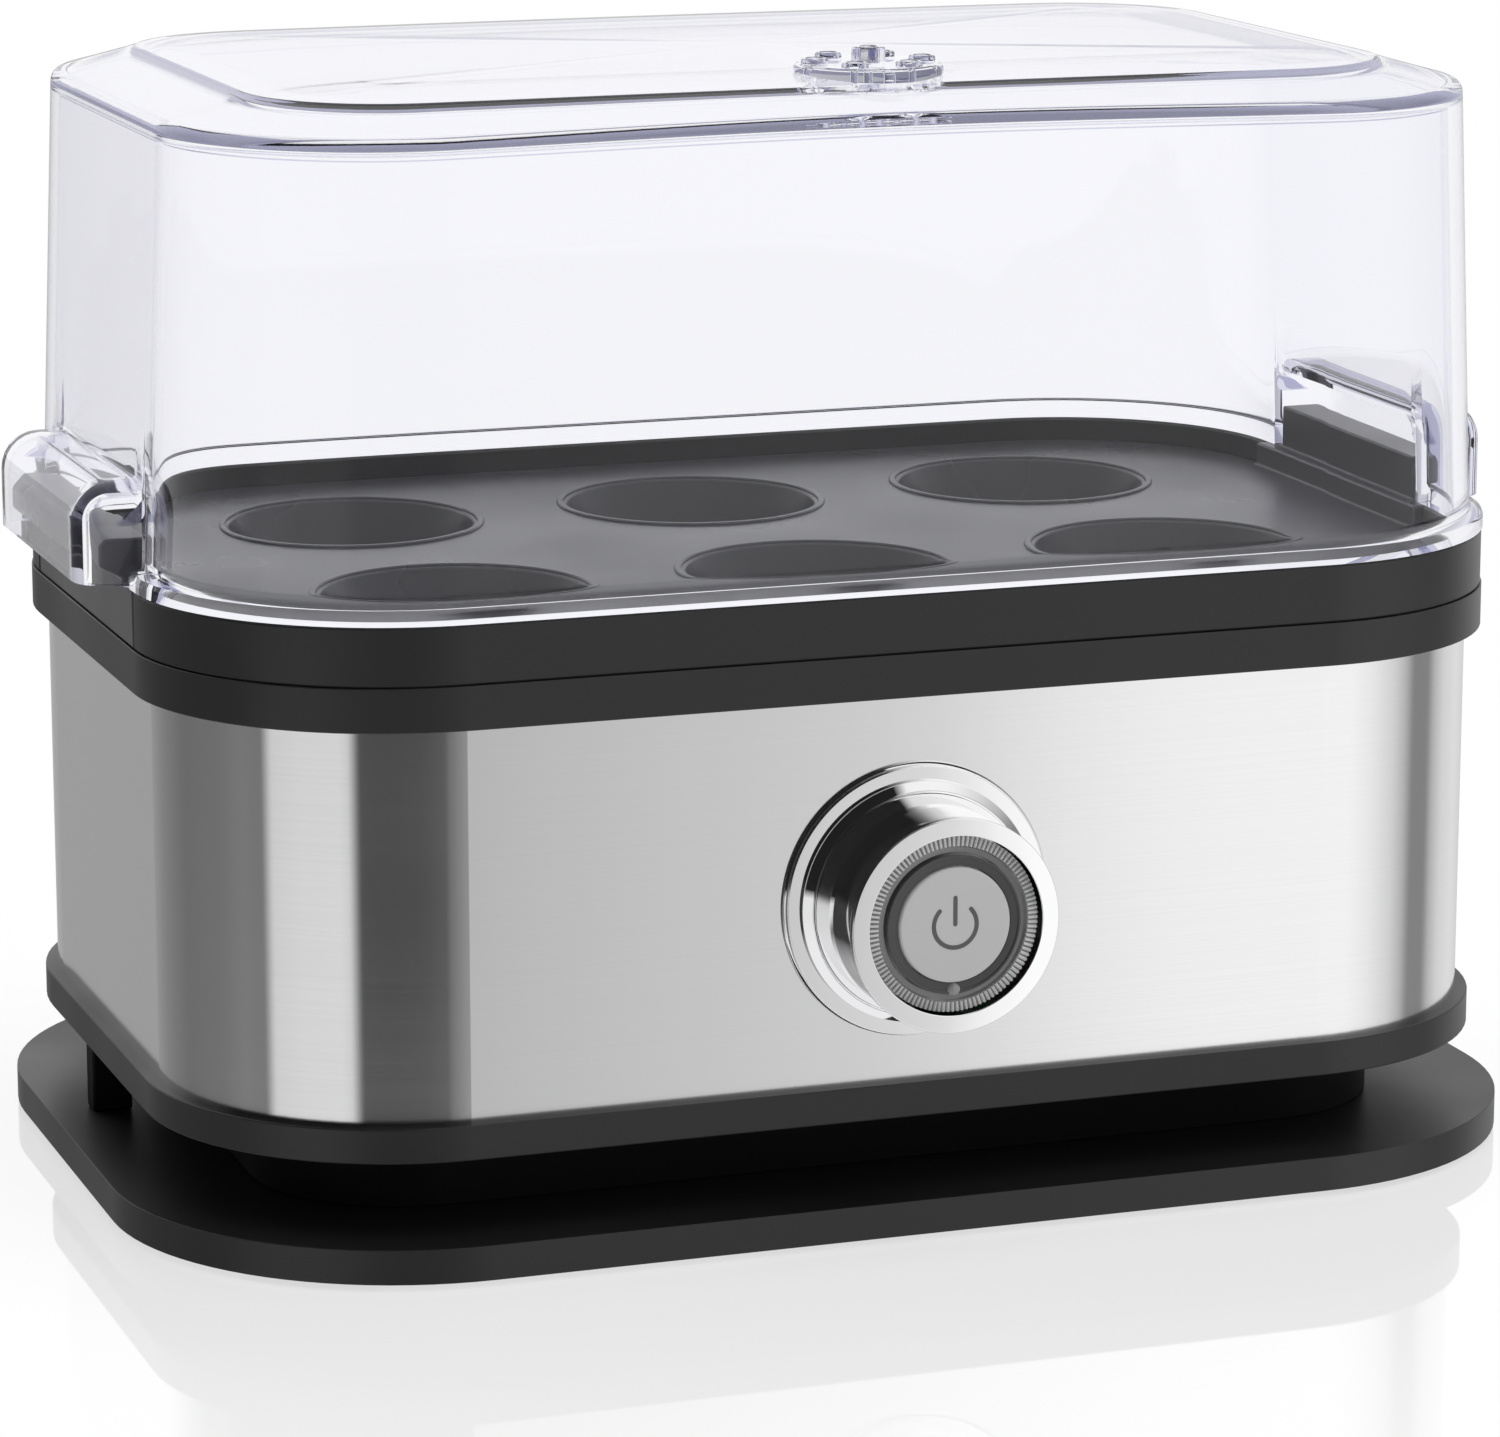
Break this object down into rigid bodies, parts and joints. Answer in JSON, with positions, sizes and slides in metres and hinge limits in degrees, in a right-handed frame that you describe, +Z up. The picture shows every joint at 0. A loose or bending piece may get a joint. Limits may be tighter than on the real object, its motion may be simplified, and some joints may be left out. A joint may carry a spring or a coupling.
{
  "type": "egg cooker",
  "caption": "Steam egg cooker: steel-banded base with water dish, lift-out egg tray, clear vented lid with grips, and a chrome push-button knob.",
  "frame": {"origin": "middle of the whole object's footprint, knob included, on the surface that the feet stand on", "axes": "+X towards the right-hand end, -Y out of the front with the knob, +Z up"},
  "size_m": [0.1984, 0.1422, 0.1513],
  "materials": {
    "black_plastic": "fine satin black moulding",
    "foot_rubber": "matte black rubber",
    "satin_steel": "smooth satin stainless sheet",
    "silicone": "grey silicone",
    "dish_steel": "polished stainless dish",
    "element_sheath": "dull metal sheath",
    "ceramic_white": "off-white ceramic",
    "thermostat_case": "tan thermoset case",
    "zinc_plate": "zinc-plated steel",
    "brass_stud": "plain brass",
    "tray_plastic": "satin charcoal moulding",
    "clear_lid": "clear moulded plastic with a faint lavender tint",
    "chrome_plate": "polished chrome plating",
    "clear_guide": "clear ribbed light guide",
    "dark_grey_plastic": "dark grey satin plastic",
    "silver_cap": "silver-grey satin coat",
    "spring_steel": "bright spring wire",
    "red_plastic": "red plunger plastic",
    "board_green": "green circuit board",
    "component_blue": "blue component cases",
    "led_white": "white lamp packages",
    "gland_rubber": "black rubber bush",
    "lead_brown": "brown insulation",
    "lead_blue": "blue insulation",
    "lead_green": "green and yellow insulation",
    "lead_red": "red silicone insulation"
  },
  "bodies": {
    "base": {"plinth": "black_plastic", "foot_front_left": "foot_rubber", "foot_front_right": "foot_rubber", "foot_rear_left": "foot_rubber", "foot_rear_right": "foot_rubber", "cord_post_left": "black_plastic", "cord_post_right": "black_plastic", "bottom_housing": "black_plastic", "steel_band": "satin_steel", "main_housing": "black_plastic", "upper_rim": "black_plastic", "plate_seal": "silicone", "heating_plate": "dish_steel", "heating_element": "element_sheath", "element_terminals": "ceramic_white", "thermostat": "thermostat_case", "thermostat_bracket": "zinc_plate", "thermal_fuse": "ceramic_white", "earth_stud": "brass_stud", "knob_flange": "chrome_plate", "knob_barrel": "chrome_plate", "knob_nut": "zinc_plate", "light_ring": "clear_guide", "button_bezel": "dark_grey_plastic", "return_spring": "spring_steel", "push_switch": "dark_grey_plastic", "control_board": "board_green", "board_components": "component_blue", "ring_leds": "led_white", "terminal_block": "ceramic_white", "cord_gland": "gland_rubber", "lead_live": "lead_brown", "lead_neutral": "lead_blue", "lead_earth": "lead_green", "element_lead_front": "lead_red", "element_lead_rear": "lead_red", "housing_screws": "zinc_plate", "plinth_screws": "zinc_plate", "rim_screws": "zinc_plate", "board_screws": "zinc_plate"},
    "tray": {"egg_tray": "tray_plastic"},
    "lid": {"lid": "clear_lid"},
    "button": {"button_cap": "silver_cap", "switch_plunger": "red_plastic"}
  },
  "joints": [
    {"name": "tray_lift", "type": "slide", "parent": "base", "child": "tray", "axis": [0, 0, 1], "range_m": [0, 0.03]},
    {"name": "lid_lift", "type": "slide", "parent": "tray", "child": "lid", "axis": [0, 0, 1], "range_m": [0, 0.06]},
    {"name": "button_press", "type": "slide", "parent": "base", "child": "button", "axis": [0, 1, 0], "range_m": [0, 0.002], "stiffness_N_per_m": 300, "deforming": ["return_spring"]}
  ]
}
